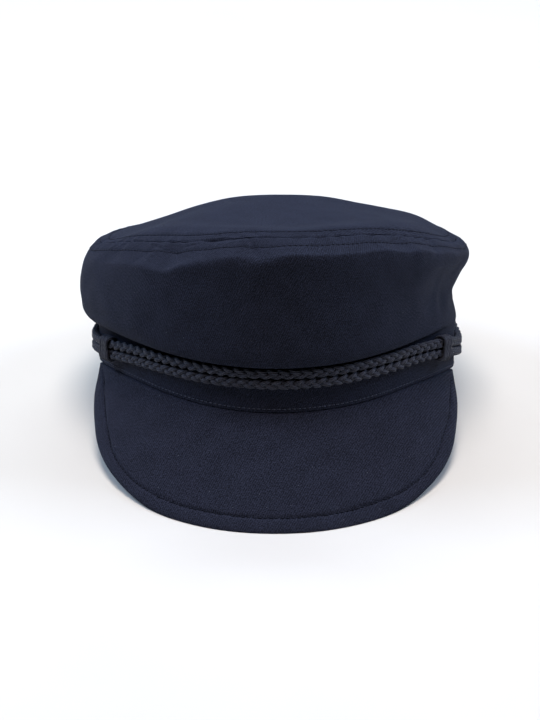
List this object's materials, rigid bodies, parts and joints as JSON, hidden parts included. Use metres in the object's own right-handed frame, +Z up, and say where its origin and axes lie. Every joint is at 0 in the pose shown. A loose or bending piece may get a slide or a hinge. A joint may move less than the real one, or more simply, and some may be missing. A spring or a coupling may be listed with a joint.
{
  "type": "breton fisherman cap",
  "caption": "Soft crowned cloth cap with a flat band, a curved stiff peak and a doubled braided cord over the front, resting on its peak and rear band.",
  "frame": {"origin": "middle of the cap's plan on the surface that it rests on", "axes": "+Z up from the surface, +Y from the peak to the back of the crown, +X to the right of someone looking at the peak"},
  "size_m": [0.1956, 0.2562, 0.1203],
  "materials": {
    "twill": "navy cotton twill, matt with a faint sheen",
    "braid": "navy plaited cord with a soft gloss",
    "button": "dark plain button, satin"
  },
  "bodies": {
    "root": {"band": "twill", "crown_side": "twill", "crown_top": "twill", "peak": "twill", "chin_cord": "braid", "slide_loop_left": "braid", "slide_loop_right": "braid", "side_button_left": "button", "side_button_right": "button"}
  },
  "joints": []
}
